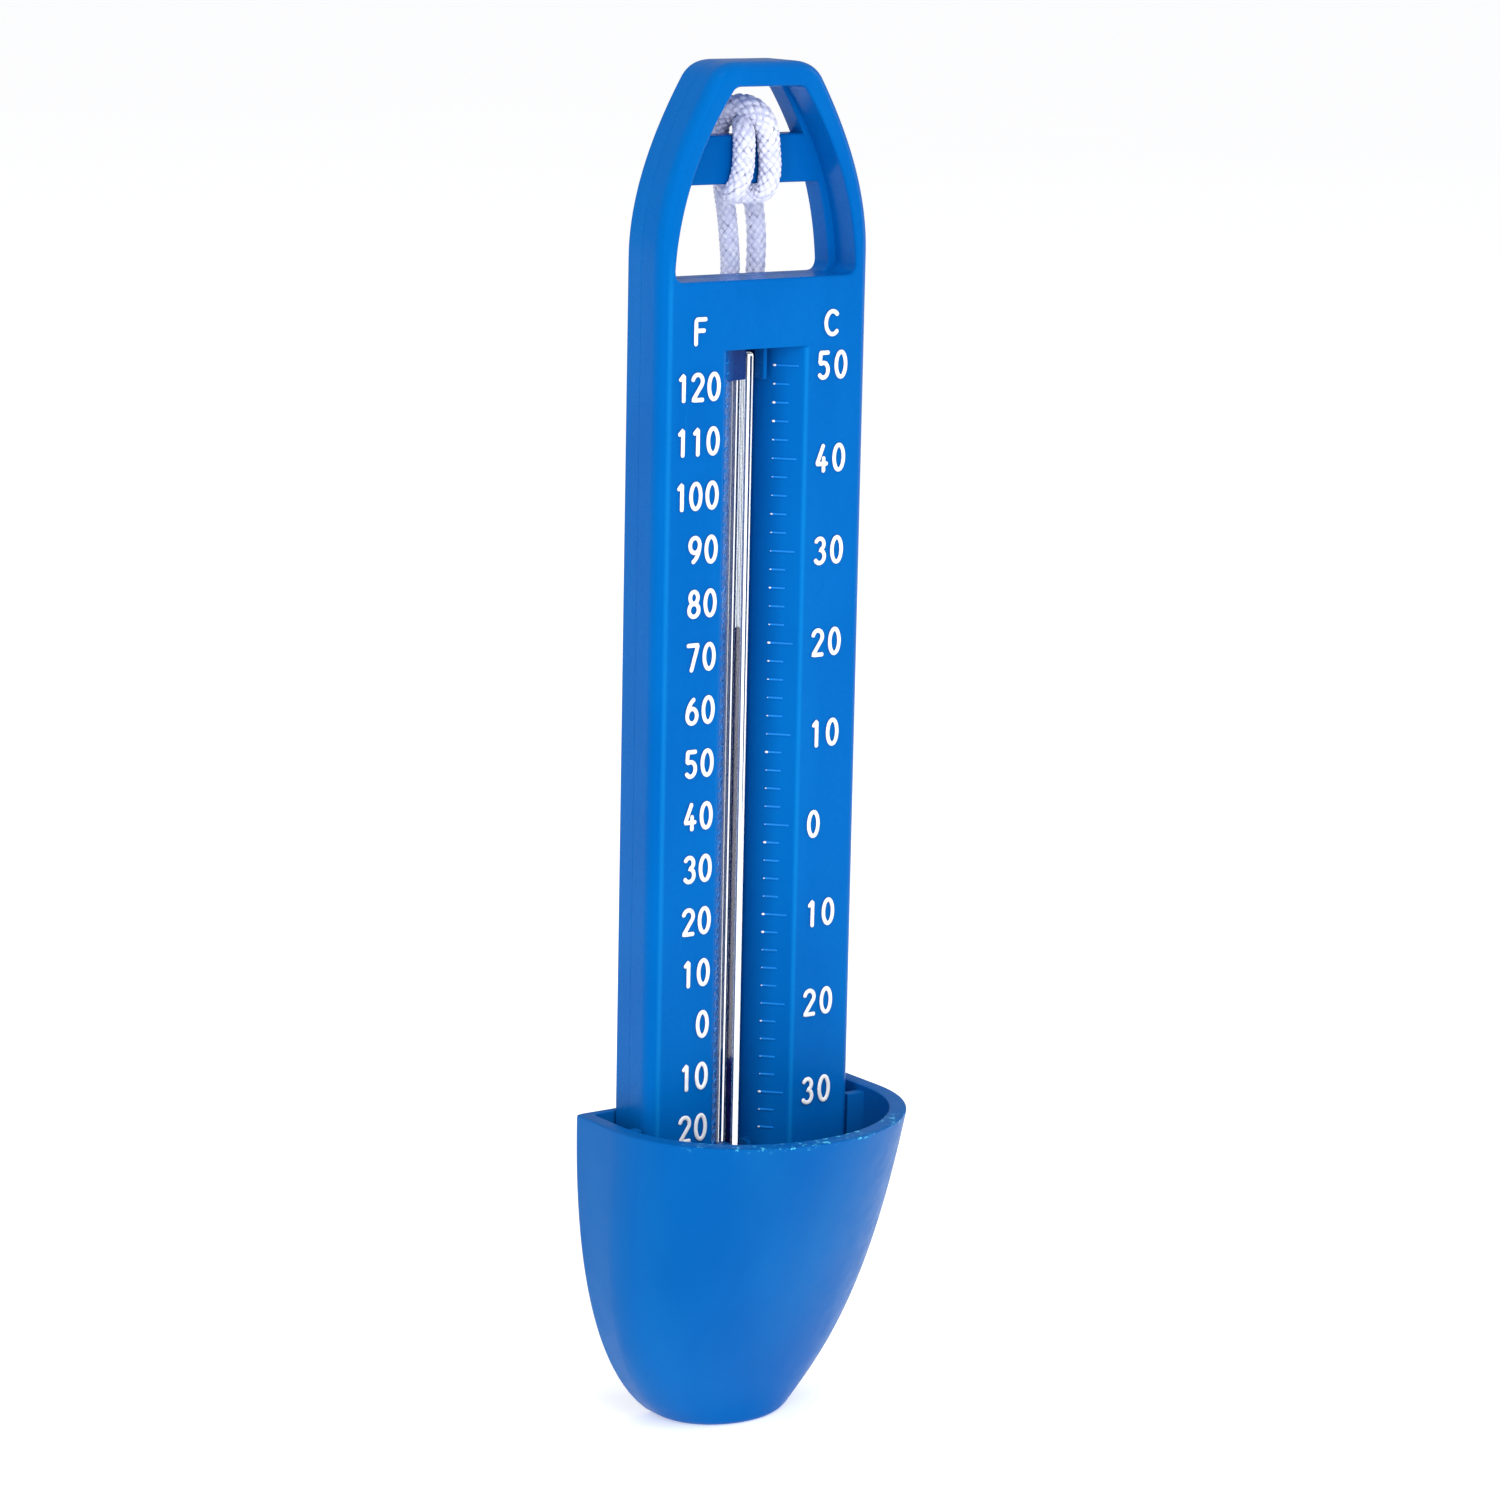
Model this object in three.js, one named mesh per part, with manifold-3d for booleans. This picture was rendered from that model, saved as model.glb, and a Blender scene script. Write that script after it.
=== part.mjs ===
// A floating pool thermometer: a slim hollow body with a scale valley and a hanging window, a glass
// tube, and a D-shaped water cup round the foot. Millimetres, +Z up, the scale faces -Y, +X is to
// the reader's right. The origin is under the middle of the cup's box, on the surface it stands on.
import * as THREE from "three";
import { mergeVertices } from "three/addons/utils/BufferGeometryUtils.js";
import Module from "manifold-3d";

const wasm = await Module();
wasm.setup();

// ---------- driving dimensions ----------
const GAP = 0.3; // clearance between pieces that meet
const WALL = 1.4; // moulded wall of the body

const BODY = { half: 16.2, foot: 17, taper: 154, top: 178.4, front: 4.8, part: 9.4, back: 12.7 };
const SHOULDER = { in: 1.45, deep: 1.9 }; // rounding round the front panel
const HEAD = { control: 164, in: 7.6, down: 2.1, cap: 8.9, flat: 12 }; // the ogive and its last rounding
const WINDOW = { half: 14, top: 5.7, low: 151.2, high: 175.3, step: 1.1, corner: 1.5, bow: 0.8 };
const WAIST = 164.5; // height at which the window's sides bow most
const BAR = { low: 162.8, high: 169, front: 9.45, reach: 11.6 }; // reach: half its length
const VALLEY = { half: 6.25, low: 20, high: 142.4 };
const LIP = { tip: 1.2, rise: 2.2, root: 4.2, levels: [[138.2, 142.9], [34.5, 37.5]] }; // over the tube
const TUBE = { y: 9.9, r: 1.35, bulb: 1.5, low: 21.4, high: 141.4, bore: 0.42, bulbTop: 33 };
const SLUG = { r: 2.2, tall: 18, x: 10.4, y: 8.9 };
const LEVEL = 105.9; // top of the spirit column, about 22 degrees Celsius

const CUP = { rim: 42.8, back: 14.2, straight: 0.31, floor: 3, side: 2.2, front: 2.5, rear: 1.2 };
const CUP_HALF = [[8.9, 0], [15.1, 4.3], [21.7, 15.4], [21.4, 42.8]]; // half-width against height
const CUP_DEPTH = [[10.9, 0], [10.9, 5.1], [15, 8.6], [28.4, 42.8]]; // depth against height

const CORD = { r: 1.15, sides: 8 };
const HANK = { x: 3.5, z: 113, run: 16, loop: 9.1, waist: 5.5, near: 13.8, far: 21.5 };
const TIE = { high: 3.4, thick: 0.7 };
const KNOT = { r: 3, x: 1.6, y: 20, z: 84.5 };

// ---------- solids ----------
function solid(geometry) {
  const bare = geometry.index ? geometry.toNonIndexed() : geometry.clone();
  bare.deleteAttribute("normal");
  bare.deleteAttribute("uv");
  const merged = mergeVertices(bare, 1e-4);
  return new wasm.Manifold(
    new wasm.Mesh({
      numProp: 3,
      vertProperties: new Float32Array(merged.attributes.position.array),
      triVerts: new Uint32Array(merged.index.array),
    }),
  );
}

function geometryOf(manifold) {
  const mesh = manifold.getMesh();
  const flat = new THREE.BufferGeometry();
  flat.setAttribute("position", new THREE.BufferAttribute(mesh.vertProperties, 3));
  flat.setIndex(new THREE.BufferAttribute(mesh.triVerts, 1));
  const faceted = flat.toNonIndexed();
  faceted.computeVertexNormals();
  return faceted;
}

function box(x0, x1, y0, y1, z0, z1) {
  const g = new THREE.BoxGeometry(x1 - x0, y1 - y0, z1 - z0);
  return solid(g.translate((x0 + x1) / 2, (y0 + y1) / 2, (z0 + z1) / 2));
}

// A shape drawn in X and Z, thick from yFront back to yBack.
function slab(shape, yFront, yBack, curveSegments = 10) {
  const g = new THREE.ExtrudeGeometry(shape, {
    depth: yBack - yFront,
    bevelEnabled: false,
    curveSegments,
  });
  return solid(g.rotateX(Math.PI / 2).translate(0, yBack, 0));
}

// The same with one rounded face: inset and deep are the rounding's size, at the front or the back.
function roundedSlab(shape, yFront, yBack, inset, deep, atFront) {
  const g = new THREE.ExtrudeGeometry(shape, {
    depth: yBack - yFront,
    bevelSize: inset,
    bevelThickness: deep,
    bevelOffset: -inset,
    bevelSegments: 4,
    curveSegments: 10,
  });
  g.rotateX(Math.PI / 2).translate(0, atFront ? yBack + deep : yBack - deep, 0);
  const keep = box(-50, 50, yFront, yBack, -10, 300);
  return solid(g).intersect(keep);
}

// A shape drawn in X and Y, tall from z0 to z1.
function prism(shape, z0, z1) {
  const g = new THREE.ExtrudeGeometry(shape, { depth: z1 - z0, bevelEnabled: false, curveSegments: 8 });
  return solid(g.translate(0, 0, z0));
}

// A solid through rings of as many points each, closed by a flat fan at both ends.
function loft(rings) {
  const count = rings[0].length;
  const index = [];
  for (let i = 1; i < rings.length; i++) {
    for (let j = 0; j < count; j++) {
      const a = (i - 1) * count + j;
      const b = (i - 1) * count + ((j + 1) % count);
      index.push(a, b, b + count, a, b + count, a + count);
    }
  }
  const last = (rings.length - 1) * count;
  for (let j = 1; j < count - 1; j++) {
    index.push(0, j + 1, j, last, last + j, last + j + 1);
  }
  const g = new THREE.BufferGeometry().setFromPoints(rings.flat());
  g.setIndex(index);
  return solid(g);
}

// ---------- outlines ----------

// The body's outline: parallel sides, then an ogive that ends in a small flat top.
function bodyOutline() {
  const { half, foot, taper, top } = BODY;
  const { control, down } = HEAD;
  const [side, cap, flat] = [half - HEAD.in, half - HEAD.cap, half - HEAD.flat];
  const s = new THREE.Shape();
  s.moveTo(-half, foot);
  s.lineTo(half, foot);
  s.lineTo(half, taper);
  s.quadraticCurveTo(half, control, side, top - down);
  s.quadraticCurveTo(cap, top, flat, top);
  s.lineTo(-flat, top);
  s.quadraticCurveTo(-cap, top, -side, top - down);
  s.quadraticCurveTo(-half, control, -half, taper);
  return s;
}

// The hanging window, drawn in by inset on each side, with rounded corners.
function windowOutline(inset) {
  const { half, top, low, high, corner, bow } = WINDOW;
  const [wide, narrow] = [half - inset, top - inset / 2];
  const [cap, flat, shoulder] = [narrow - 0.4, narrow - 1.4, high - 0.6];
  const s = new THREE.Shape();
  s.moveTo(corner - wide, low);
  s.lineTo(wide - corner, low);
  s.quadraticCurveTo(wide, low, wide, low + corner);
  s.quadraticCurveTo(wide - bow, WAIST, narrow, shoulder);
  s.quadraticCurveTo(cap, high, flat, high);
  s.lineTo(-flat, high);
  s.quadraticCurveTo(-cap, high, -narrow, shoulder);
  s.quadraticCurveTo(bow - wide, WAIST, -wide, low + corner);
  s.quadraticCurveTo(-wide, low, corner - wide, low);
  return s;
}

// The valley's cross-section: two banks that slope to a half-round channel for the tube.
// grow is the wall that the section is thickened by.
function valleySection(grow, backWall) {
  const r = TUBE.r + 0.2;
  const s = new THREE.Shape();
  s.moveTo(-VALLEY.half - grow, BODY.front + (grow ? WALL / 2 : -1));
  s.lineTo(VALLEY.half + grow, BODY.front + (grow ? WALL / 2 : -1));
  s.lineTo(VALLEY.half + grow, BODY.front + (grow ? WALL : 0));
  s.lineTo(r + backWall, TUBE.y);
  s.absarc(0, TUBE.y, r + backWall, 0, Math.PI, false);
  s.lineTo(-VALLEY.half - grow, BODY.front + (grow ? WALL : 0));
  return s;
}

// ---------- body ----------
// The lips over the tube at one level: a broad sloping one on the left, a thin upright one on the right.
function lips(z0, z1) {
  const { tip, rise, root } = LIP;
  const y = BODY.front;
  const broad = [[-5, y + 1.6], [-tip, y + rise + 0.4], [-tip, y + root], [-2.5, y + root + 0.1]];
  const thin = [[tip, y + rise], [tip + 0.5, y + rise], [tip + 0.5, y + 3.7], [2.75, y + 3.7]];
  thin.push([2.3, y + root + 0.1], [1.45, y + root + 0.1], [1.45, y + root], [tip, y + root]);
  const outline = (points) => new THREE.Shape(points.map(([x, depth]) => new THREE.Vector2(x, depth)));
  return prism(outline(broad), z0, z1).add(prism(outline(thin), z0, z1));
}

function frontShell() {
  const { half, foot, front, part } = BODY;
  const hollow = box(WALL - half, half - WALL, front + WALL, part + 1, foot + WALL, 149.6);
  let shell = roundedSlab(bodyOutline(), front, part, SHOULDER.in, SHOULDER.deep, true);
  shell = shell.subtract(hollow);
  shell = shell.add(prism(valleySection(1.3, 0.5), foot + 0.5, VALLEY.high + WALL));
  shell = shell.subtract(prism(valleySection(0, 0), VALLEY.low, VALLEY.high));
  shell = shell.subtract(bulbPocket());
  shell = shell.subtract(slab(windowOutline(0), front - 1, part + 1));
  for (const [z0, z1] of LIP.levels) shell = shell.add(lips(z0, z1));
  return shell;
}

// Room for the bulb, which is a little wider than the stem.
function bulbPocket() {
  const tall = TUBE.bulbTop + 1 - VALLEY.low;
  const g = new THREE.CylinderGeometry(TUBE.bulb + 0.2, TUBE.bulb + 0.2, tall, 20);
  return solid(g.rotateX(Math.PI / 2).translate(0, TUBE.y, VALLEY.low + tall / 2));
}

function rearCover() {
  const { half, foot, part, back } = BODY;
  const seam = part + 0.1;
  let cover = roundedSlab(bodyOutline(), seam, back, 0.5, 0.5, false);
  cover = cover.subtract(slab(windowOutline(WINDOW.step), seam - 1, back + 1));
  cover = cover.subtract(box(WALL - half, half - WALL, seam - 1, back - 1.1, foot + WALL, 149.6));
  cover = cover.subtract(box(-2.6, 2.6, seam - 1, back - 0.6, foot + 0.3, VALLEY.high + WALL + GAP));
  return cover.add(crossbar());
}

// The bar that carries the cord, across the window and rooted in its sides.
function crossbar() {
  const { low, high, front, reach } = BAR;
  return box(-reach, reach, front, BODY.back, low, high);
}

// ---------- glass tube and spirit ----------
function lathe(points, segments) {
  const g = new THREE.LatheGeometry(points.map(([x, y]) => new THREE.Vector2(x, y)), segments);
  return solid(g.rotateX(Math.PI / 2).translate(0, TUBE.y, 0));
}

function glassTube() {
  const { r, bulb, low, high, bore, bulbTop } = TUBE;
  return lathe(
    [
      [0, low],
      [bulb * 0.7, low + 0.4],
      [bulb, low + 1.5],
      [bulb, bulbTop - 1],
      [r, bulbTop],
      [r, high - 0.4],
      [r - 0.4, high],
      [bore, high],
      [bore, bulbTop + 0.6],
      [bulb - 0.45, bulbTop - 0.8],
      [bulb - 0.45, low + 1.6],
      [0, low + 1.2],
    ],
    20,
  );
}

function bulbSpirit() {
  const { bulb, low, bore, bulbTop } = TUBE;
  const r = bulb - 0.55;
  const top = bulbTop + 0.4;
  return lathe([[0, low + 1.4], [r, low + 1.9], [r, bulbTop - 1], [bore - 0.06, top], [0, top]], 16);
}

function spiritColumn() {
  const r = TUBE.bore - 0.06;
  const foot = TUBE.bulbTop + 0.4 + GAP;
  return lathe([[0, foot], [r, foot], [r, LEVEL - 0.1], [0, LEVEL]], 16);
}

// A steel slug in the hollow beside the valley.
function ballastSlug(side) {
  const { r, tall, x, y } = SLUG;
  const g = new THREE.CylinderGeometry(r, r, tall, 24);
  return solid(g.rotateX(Math.PI / 2).translate(side * x, y, BODY.foot + WALL + GAP + tall / 2));
}

// ---------- water cup ----------
// The value of a rising curve, given as Bezier points [value, height], at height z.
function valueAt(points, z) {
  const curve = new THREE.CubicBezierCurve(...points.map(([v, h]) => new THREE.Vector2(v, h)));
  let [low, high] = [0, 1];
  for (let i = 0; i < 30; i++) {
    const t = (low + high) / 2;
    if (curve.getPoint(t).y < z) low = t;
    else high = t;
  }
  return curve.getPoint(low).x;
}

// A D-shaped ring: flat back at y = back, short straight sides, then half an ellipse.
function dRing(halfWidth, depth, back, z) {
  const steps = 32;
  const straight = CUP.straight * depth;
  const ring = [new THREE.Vector3(-halfWidth, back, z)];
  for (let i = 0; i <= steps; i++) {
    const t = (Math.PI * i) / steps;
    const y = back - straight - (depth - straight) * Math.sin(t);
    ring.push(new THREE.Vector3(-halfWidth * Math.cos(t), y, z));
  }
  ring.push(new THREE.Vector3(halfWidth, back, z));
  return ring;
}

function cupOuter() {
  const heights = [1, 2, 3.5, 5.5, 8, 11, 14.5, 18.5, 23, 28, 33, 38, CUP.rim];
  const rings = heights.map((z) => dRing(valueAt(CUP_HALF, z), valueAt(CUP_DEPTH, z), CUP.back, z));
  const low = [valueAt(CUP_HALF, 0.4), valueAt(CUP_DEPTH, 0.4)];
  rings.unshift(dRing(low[0] - 0.2, low[1] - 0.2, CUP.back, 0.35));
  rings.unshift(dRing(low[0] - 0.9, low[1] - 0.9, CUP.back - 0.1, 0));
  return loft(rings);
}

function cupInner() {
  const heights = [CUP.floor, 4.5, 7, 10, 13.5, 17.5, 22, 27, 32, 37.5, CUP.rim, CUP.rim + 5];
  const thin = CUP.front + CUP.rear;
  const rings = heights.map((z) => {
    const at = Math.min(z, CUP.rim);
    const halfWidth = valueAt(CUP_HALF, at) - CUP.side;
    return dRing(halfWidth, valueAt(CUP_DEPTH, at) - thin, CUP.back - CUP.rear, z);
  });
  return loft(rings);
}

function waterCup() {
  const outer = cupOuter();
  let cup = outer.subtract(cupInner());
  for (const side of [-1, 1]) {
    const [a, b] = [side * (BODY.half + GAP), side * 21];
    const guide = box(Math.min(a, b), Math.max(a, b), 5.7, 7.1, 8, CUP.rim - 0.8);
    const seat = box(side * 9 - 0.8, side * 9 + 0.8, 6, CUP.back - 0.5, 1, BODY.foot - GAP);
    cup = cup.add(guide.intersect(outer)).add(seat.intersect(outer));
  }
  return cup;
}

// ---------- cord ----------
// From under the arch: down the front, along below the bar, up, over as the arch, and down behind.
const LEFT_CORD = [
  [-0.1, 11, 170.2], [-0.9, 9.7, 170.2], [-1.6, 8.6, 169.7], [-1.85, 7.95, 168.3], [-1.95, 7.85, 166.6],
  [-2.05, 7.85, 164.9], [-2.45, 7.9, 163.4], [-2.9, 8.45, 162.05], [-2.6, 9.5, 161.5], [-1.4, 10.1, 161.5],
  [0, 10.1, 161.5], [1.1, 9.6, 161.5], [1.75, 8.6, 161.85], [2.05, 8, 163.3], [2.15, 7.85, 165],
  [1.95, 7.85, 167.2], [1.7, 7.9, 169.2], [1.25, 8.2, 170.8], [0.6, 8.75, 171.8], [-0.1, 9.6, 172.4],
  [-0.7, 10.7, 172.5], [-1.25, 12, 172.2], [-1.5, 13.2, 171.2], [-1.55, 14.1, 169.6], [-1.35, 14.3, 167.5],
  [-0.9, 14.35, 164.8], [-0.35, 14.3, 161], [0.15, 14.3, 158.5], [0.5, 14.3, 155.8], [0.85, 14.35, 152.3],
  [0.9, 14.6, 148], [0.6, 14.9, 143.5], [0.2, 15.1, 138.7],
];
// From under the arch: down behind the bar.
const RIGHT_CORD = [
  [0.2, 11.3, 170.2], [1, 12.4, 170.35], [1.9, 13.75, 169.6], [2.5, 14.3, 167.4], [3.1, 14.35, 164.8],
  [3.9, 14.3, 161.2], [4.5, 14.3, 158.8], [4.85, 14.3, 155.6], [4.9, 14.4, 152.2], [4.85, 14.7, 147.5],
  [4.4, 15, 143], [3.9, 15.1, 138.7],
];

function cordTube(route, steps) {
  const path = new THREE.CatmullRomCurve3(route.map((p) => new THREE.Vector3(...p)), false, "centripetal");
  const section = new THREE.Shape();
  for (let i = 0; i < CORD.sides; i++) {
    const t = (2 * Math.PI * i) / CORD.sides;
    const [x, y] = [CORD.r * Math.cos(t), CORD.r * Math.sin(t)];
    if (i === 0) section.moveTo(x, y);
    else section.lineTo(x, y);
  }
  return solid(new THREE.ExtrudeGeometry(section, { steps, extrudePath: path, bevelEnabled: false }));
}

// The hank's outline: a round loop at each end and a waist where the tie draws it in.
function hankOutline(grow) {
  const { x, z, run, loop, waist } = HANK;
  const [r, w] = [loop + grow, waist + grow];
  const s = new THREE.Shape();
  s.moveTo(x + r, z + run);
  s.absarc(x, z + run, r, 0, Math.PI, false);
  s.bezierCurveTo(x - r, z + run / 2, x - w, z + run / 2, x - w, z);
  s.bezierCurveTo(x - w, z - run / 2, x - r, z - run / 2, x - r, z - run);
  s.absarc(x, z - run, r, Math.PI, 2 * Math.PI, false);
  s.bezierCurveTo(x + r, z - run / 2, x + w, z - run / 2, x + w, z);
  s.bezierCurveTo(x + w, z + run / 2, x + r, z + run / 2, x + r, z + run);
  return s;
}

function cordHank() {
  return slab(hankOutline(0), HANK.near, HANK.far, 8);
}

// A band round the hank's waist, which follows its waisted sides.
function hankTie() {
  const gap = 0.2;
  const band = slab(hankOutline(gap + TIE.thick), HANK.near - gap - TIE.thick, HANK.far + gap + TIE.thick, 8);
  const inside = slab(hankOutline(gap), HANK.near - gap, HANK.far + gap, 8);
  const zone = box(-30, 30, 0, 40, HANK.z - TIE.high / 2, HANK.z + TIE.high / 2);
  return band.subtract(inside).intersect(zone);
}

function endKnot() {
  return solid(new THREE.IcosahedronGeometry(KNOT.r, 2).translate(KNOT.x, KNOT.y, KNOT.z));
}

// ---------- materials and assembly ----------
const paint = (color, roughness, metalness = 0) =>
  new THREE.MeshStandardMaterial({ color, roughness, metalness });
const BLUE = paint(0x0a6bd0, 0.35);
const CUP_BLUE = paint(0x1068c4, 0.4);
const CLEAR = { transparent: true, opacity: 0.35 };
const GLASS = new THREE.MeshStandardMaterial({ color: 0xe8f0f4, roughness: 0.05, ...CLEAR });
const SPIRIT = paint(0x1c1648, 0.2);
const STEEL = paint(0x8d9094, 0.3, 1);
const BRAID = paint(0xdfe0f2, 0.8);
const BAND = paint(0xf2f2ee, 0.5);

const PIECES = [
  ["front_shell", frontShell(), BLUE],
  ["rear_cover", rearCover(), BLUE],
  ["water_cup", waterCup(), CUP_BLUE],
  ["glass_tube", glassTube(), GLASS],
  ["bulb_spirit", bulbSpirit(), SPIRIT],
  ["spirit_column", spiritColumn(), SPIRIT],
  ["ballast_left", ballastSlug(-1), STEEL],
  ["ballast_right", ballastSlug(1), STEEL],
  ["cord_left", cordTube(LEFT_CORD, 48), BRAID],
  ["cord_right", cordTube(RIGHT_CORD, 20), BRAID],
  ["cord_hank", cordHank(), BRAID],
  ["hank_tie", hankTie(), BAND],
  ["end_knot", endKnot(), BRAID],
];

const thermometer = new THREE.Group();
thermometer.name = "pool_thermometer";
for (const [name, body, material] of PIECES) {
  const mesh = new THREE.Mesh(geometryOf(body), material);
  mesh.name = name;
  thermometer.add(mesh);
}

export default thermometer;
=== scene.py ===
"""The looks of a floating pool thermometer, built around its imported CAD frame.

Shapes are drawn in millimetres, +Z up, the scale facing -Y, and scaled to metres as each piece is done.
"""

import math
import random

import bmesh
import bpy
import numpy as np
from mathutils import Matrix, Vector


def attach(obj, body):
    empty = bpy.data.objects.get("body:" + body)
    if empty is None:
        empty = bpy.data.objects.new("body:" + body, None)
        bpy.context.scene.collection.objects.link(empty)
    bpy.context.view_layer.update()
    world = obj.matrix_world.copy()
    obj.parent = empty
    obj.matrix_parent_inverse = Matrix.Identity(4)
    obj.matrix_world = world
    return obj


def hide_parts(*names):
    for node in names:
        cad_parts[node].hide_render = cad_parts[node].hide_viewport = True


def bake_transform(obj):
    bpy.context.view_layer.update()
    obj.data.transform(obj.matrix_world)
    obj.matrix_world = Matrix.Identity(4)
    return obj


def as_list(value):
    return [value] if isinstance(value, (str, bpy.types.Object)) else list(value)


MM = 0.001
SMOOTH_ANGLE = 32  # degrees: sharper edges stay sharp

# ---------- dimensions, as in the CAD part ----------
BODY = dict(half=16.2, foot=17, taper=154, top=178.4, front=4.8, part=9.4, back=12.7)
# The head's corners: side, corner and flat are insets from the body's side, drop is from its top,
# and bulge is a height.
HEAD = dict(side=7.6, drop=2.1, corner=8.9, flat=12, bulge=164)
WALL = 1.4
GAP = 0.3
HOLLOW_TOP = 149.6
SEAM = BODY["part"] + 0.01  # the rear cover's front edge
SHOULDER = dict(inset=1.45, deep=1.9)
WINDOW = dict(half=14, top=5.7, low=151.2, high=175.3, step=1.1)
BAR = dict(low=162.8, high=169, front=9.45, reach=11.6)
VALLEY = dict(half=6.25, low=20, high=142.4)
LIP = dict(tip=1.2, rise=2.2, root=4.2, levels=((138.2, 142.9), (34.5, 37.5)))
TUBE = dict(y=9.9, r=1.35, bulb=1.5, low=21.4, high=141.4, bore=0.42, bulb_top=33)
COLUMN = dict(foot=33.7, level=105.9, r=0.36)
CUP = dict(rim=42.8, back=14.2, straight=0.31, floor=3, side=2.2, front=2.5, rear=1.2)
CUP_HALF = ((8.9, 0), (15.1, 4.3), (21.7, 15.4), (21.4, 42.8))
CUP_DEPTH = ((10.9, 0), (10.9, 5.1), (15, 8.6), (28.4, 42.8))
SLUG = dict(r=2.2, tall=18, x=10.4, y=8.9, ease=0.3)
CORD_D = 2.7
HANK = dict(x=3.5, z=113, run=16, layers=(15.1, 17.65, 20.2))
TIE = dict(half=5.75, near=13.65, far=21.85, r=2.6, thick=0.3, high=1.65)
KNOT = (1.6, 20, 84.5)


# ---------- meshes ----------
def new_object(name, verts, faces):
    mesh = bpy.data.meshes.new(name)
    mesh.from_pydata([tuple(map(float, v)) for v in verts], [], faces)
    obj = bpy.data.objects.new(name, mesh)
    bpy.context.scene.collection.objects.link(obj)
    return obj


def edit(obj, *steps):
    """Runs bmesh steps on obj's mesh."""
    bm = bmesh.new()
    bm.from_mesh(obj.data)
    for step in steps:
        step(bm)
    bm.to_mesh(obj.data)
    bm.free()
    return obj


def outward(bm):
    bmesh.ops.recalc_face_normals(bm, faces=bm.faces)


def loft(name, rings, closed=False, capped=True):
    """A skin through rings of as many points each, closed by a face at both ends."""
    count = len(rings[0])
    verts = [p for ring in rings for p in ring]
    faces = []
    spans = len(rings) if closed else len(rings) - 1
    for i in range(spans):
        low, high = i * count, (i + 1) % len(rings) * count
        for j in range(count):
            k = (j + 1) % count
            faces.append((low + j, low + k, high + k, high + j))
    if capped and not closed:
        faces.append(tuple(reversed(range(count))))
        faces.append(tuple(range(len(verts) - count, len(verts))))
    return edit(new_object(name, verts, faces), outward)


def box(name, x0, x1, y0, y1, z0, z1):
    ring = lambda z: [(x0, y0, z), (x1, y0, z), (x1, y1, z), (x0, y1, z)]
    return loft(name, [ring(z0), ring(z1)])


def lathe(name, profile, segments=64, y=TUBE["y"]):
    """A closed body turned round the upright line at x 0: profile is (radius, height) from axis to axis."""
    turn = [2 * math.pi * i / segments for i in range(segments)]
    verts, rows = [], []
    for r, z in profile:
        if r < 1e-6:
            rows.append([len(verts)] * segments)
            verts.append((0, y, z))
        else:
            rows.append(list(range(len(verts), len(verts) + segments)))
            verts += [(r * math.cos(a), y + r * math.sin(a), z) for a in turn]
    faces = []
    for low, high in zip(rows, rows[1:]):
        for j in range(segments):
            k = (j + 1) % segments
            face = list(dict.fromkeys((low[j], low[k], high[k], high[j])))
            if len(face) > 2:
                faces.append(tuple(face))
    return edit(new_object(name, verts, faces), outward)


def bake_modifiers(obj):
    bpy.context.view_layer.update()
    graph = bpy.context.evaluated_depsgraph_get()
    mesh = bpy.data.meshes.new_from_object(obj.evaluated_get(graph))
    old = obj.data
    obj.modifiers.clear()
    obj.data = mesh
    bpy.data.meshes.remove(old)


def combine(obj, tool, operation):
    """An exact boolean of obj with tool, which is used up."""
    cut = obj.modifiers.new("cut", "BOOLEAN")
    cut.operation, cut.solver, cut.object = operation, "EXACT", tool
    bake_modifiers(obj)
    bpy.data.objects.remove(tool)
    return obj


def cut(obj, tool):
    return combine(obj, tool, "DIFFERENCE")


def add(obj, tool):
    return combine(obj, tool, "UNION")


def join(name, parts):
    """One object of several, materials kept."""
    with bpy.context.temp_override(active_object=parts[0], selected_editable_objects=parts):
        bpy.ops.object.join()
    parts[0].name = name
    return parts[0]


def finish_piece(obj, material, replaces=(), ride=True):
    """Scales a piece to metres, smooths it up to an angle, and hands it to the frame."""
    weld = lambda bm: bmesh.ops.remove_doubles(bm, verts=bm.verts, dist=1e-4)
    edit(obj, weld, outward)
    obj.data.transform(Matrix.Scale(MM, 4))
    obj.data.shade_smooth()
    obj.data.set_sharp_from_angle(angle=math.radians(SMOOTH_ANGLE))
    even = obj.modifiers.new("even", "WEIGHTED_NORMAL")
    even.keep_sharp = True
    bake_modifiers(obj)
    if not obj.data.materials:
        obj.data.materials.append(material)
    if ride:
        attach(obj, "float")
    if replaces:
        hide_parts(*replaces)
    return obj


# ---------- outlines ----------
def bend(a, b, c, steps):
    """Points on the quadratic curve from a, drawn towards b, to c; a itself is left out."""
    points = []
    for i in range(1, steps + 1):
        t = i / steps
        points.append(tuple((1 - t) ** 2 * p + 2 * t * (1 - t) * q + t * t * r for p, q, r in zip(a, b, c)))
    return points


def mirrored(right):
    """A whole outline from its right half, which runs upward from the foot."""
    return right + [(-x, z) for x, z in reversed(right)]


def body_outline():
    half, taper, top = BODY["half"], BODY["taper"], BODY["top"]
    side = (half - HEAD["side"], top - HEAD["drop"])
    cap, flat = (half - HEAD["corner"], top), (half - HEAD["flat"], top)
    right = [(half, BODY["foot"]), (half, taper)]
    right += bend((half, taper), (half, HEAD["bulge"]), side, 26)
    right += bend(side, cap, flat, 14)
    return mirrored(right)


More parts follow.
